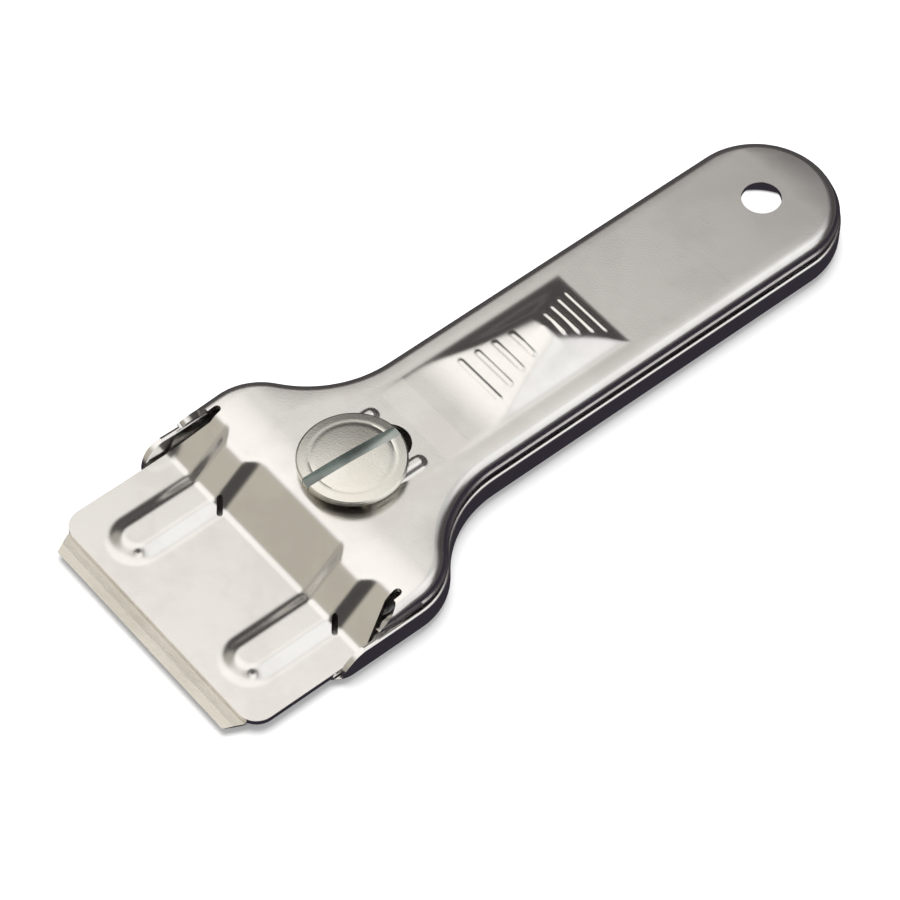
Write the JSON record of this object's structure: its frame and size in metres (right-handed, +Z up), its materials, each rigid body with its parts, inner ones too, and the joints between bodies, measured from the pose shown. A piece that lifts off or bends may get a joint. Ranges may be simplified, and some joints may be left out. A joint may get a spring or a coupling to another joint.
{
  "type": "razor blade scraper",
  "caption": "Pressed-metal razor blade scraper: a sliding cover clamps a flat blade on a tray-shaped handle under a coin-slotted screw; hanging hole in the round end.",
  "frame": {"origin": "centre of the bounding box in X and Y, on the plane of the tray's underside", "axes": "+Z up through the clamp screw, cutting edge towards -Y, hanging hole towards +Y, +X to the right when the blade points away"},
  "size_m": [0.0482, 0.1308, 0.0132],
  "materials": {
    "plated_sheet": "nickel-plated pressed steel, satin to bright",
    "blade_steel": "ground blade steel, warm grey",
    "turned_steel": "plain turned steel",
    "screw_steel": "nickel-plated turned steel"
  },
  "bodies": {
    "tray_body": {"tray": "plated_sheet", "blade_bed": "plated_sheet", "blade": "blade_steel", "left_peg": "turned_steel", "right_peg": "turned_steel", "left_rivet": "turned_steel", "right_rivet": "turned_steel", "threaded_bush": "turned_steel"},
    "cover_body": {"sliding_cover": "plated_sheet"},
    "ring_body": {"retaining_ring": "turned_steel"},
    "screw_body": {"clamp_screw": "screw_steel"}
  },
  "joints": [
    {"name": "cover_slide", "type": "slide", "parent": "tray_body", "child": "cover_body", "axis": [0, -1, 0], "range_m": [0, 0.0045]},
    {"name": "screw_lift", "type": "slide", "parent": "tray_body", "child": "ring_body", "axis": [0, 0, 1], "range_m": [0, 0.001]},
    {"name": "screw_turn", "type": "hinge", "parent": "ring_body", "child": "screw_body", "pos_m": [0, -0.02637, 0.005], "axis": [0, 0, 1], "range_deg": [0, 360]}
  ],
  "couplings": [
    {"joint": "screw_turn", "follows": "screw_lift", "rad_per_m": 6283.2}
  ]
}
